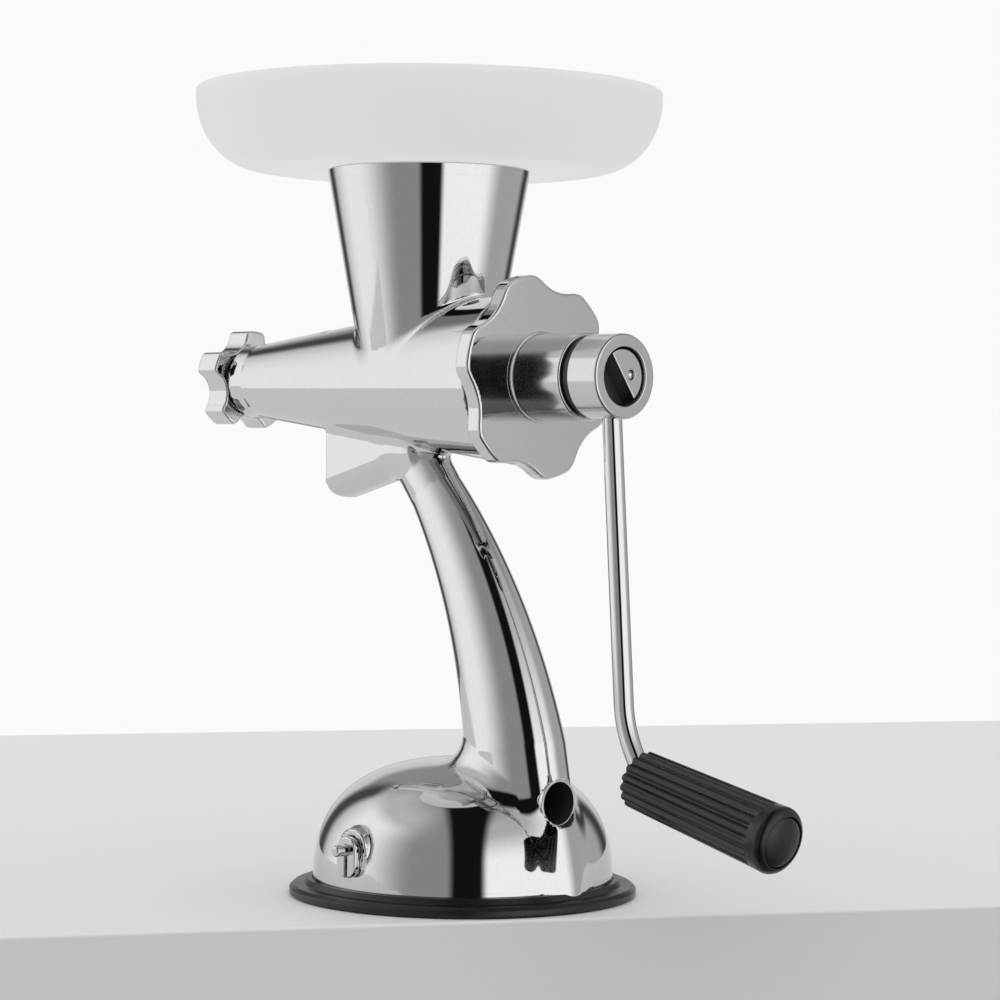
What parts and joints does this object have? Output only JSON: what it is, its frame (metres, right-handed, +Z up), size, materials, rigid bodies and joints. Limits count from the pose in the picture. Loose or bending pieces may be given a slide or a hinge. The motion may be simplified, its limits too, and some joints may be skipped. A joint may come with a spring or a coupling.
{
  "type": "manual juicer",
  "caption": "Hand-cranked auger juicer: tapered steel barrel on a curved neck and suction base, with a lift-off feed tray, lobed screw cap, cranked handle and drip spout.",
  "frame": {"origin": "centre of the suction pad's underside, on the table", "axes": "+Z up; +X along the barrel towards the crank, out of the clamp socket's mouth; +Y completes the right-handed frame"},
  "size_m": [0.3262, 0.1956, 0.3345],
  "materials": {
    "polished_steel": "mirror-polished stainless steel",
    "plain_steel": "satin stainless steel",
    "black_rubber": "matt moulded rubber",
    "black_plastic": "satin moulded plastic",
    "bush_plastic": "natural bearing plastic",
    "tray_plastic": "frosted white plastic"
  },
  "bodies": {
    "body": {"suction_pad": "black_rubber", "base_dome": "polished_steel", "neck_root": "polished_steel", "neck": "polished_steel", "barrel": "polished_steel", "throat": "polished_steel", "juice_spout": "polished_steel", "strainer": "plain_steel", "cam_bushes": "polished_steel"},
    "cap_carrier": {"thrust_washer": "black_plastic"},
    "cap": {"front_cap": "polished_steel", "shaft_bush": "bush_plastic", "cap_gasket": "black_rubber"},
    "crank": {"auger": "plain_steel", "auger_shaft": "plain_steel", "crank_hub": "polished_steel", "crank_arm": "polished_steel", "grip_retainer": "plain_steel"},
    "handle": {"grip": "black_plastic", "grip_cap": "black_plastic"},
    "outlet": {"pulp_nozzle": "plain_steel"},
    "knob": {"pulp_knob": "polished_steel"},
    "lock": {"cam_shaft": "plain_steel", "shaft_end_pin": "polished_steel", "shaft_link": "polished_steel", "suction_cam": "plain_steel", "cam_key": "plain_steel", "suction_lever": "polished_steel", "lever_tip": "black_plastic"},
    "yoke": {"pad_yoke": "plain_steel"},
    "tray": {"hopper_tray": "tray_plastic"}
  },
  "joints": [
    {"name": "cap_travel", "type": "slide", "parent": "body", "child": "cap_carrier", "axis": [1, 0, 0], "range_m": [0, 0.009]},
    {"name": "front_cap_turn", "type": "hinge", "parent": "cap_carrier", "child": "cap", "pos_m": [0.043, 0, 0.214], "axis": [1, 0, 0], "range_deg": [0, 1080]},
    {"name": "crank_spin", "type": "hinge", "parent": "cap_carrier", "child": "crank", "pos_m": [0.0736, 0, 0.214], "axis": [1, 0, 0], "continuous": true},
    {"name": "grip_spin", "type": "hinge", "parent": "crank", "child": "handle", "pos_m": [0.10646, 0, 0.05404], "axis": [0.972, 0, -0.2351], "continuous": true},
    {"name": "knob_travel", "type": "slide", "parent": "body", "child": "outlet", "axis": [-1, 0, 0], "range_m": [0, 0.006]},
    {"name": "pulp_knob_turn", "type": "hinge", "parent": "outlet", "child": "knob", "pos_m": [-0.1377, 0, 0.214], "axis": [-1, 0, 0], "range_deg": [0, 1440]},
    {"name": "suction_lever_turn", "type": "hinge", "parent": "body", "child": "lock", "pos_m": [0, 0, 0.0235], "axis": [0, 1, 0], "range_deg": [0, 120]},
    {"name": "pad_lift", "type": "slide", "parent": "body", "child": "yoke", "axis": [0, 0, 1], "range_m": [0, 0.0045], "deforming": ["suction_pad"]},
    {"name": "tray_lift", "type": "slide", "parent": "body", "child": "tray", "axis": [0, 0, 1], "range_m": [0, 0.06]}
  ],
  "couplings": [
    {"joint": "cap_travel", "follows": "front_cap_turn", "m_per_rad": 0.00047746},
    {"joint": "knob_travel", "follows": "pulp_knob_turn", "m_per_rad": 0.00023873},
    {"joint": "pad_lift", "follows": "suction_lever_turn", "m_per_rad": 0.0021485}
  ]
}
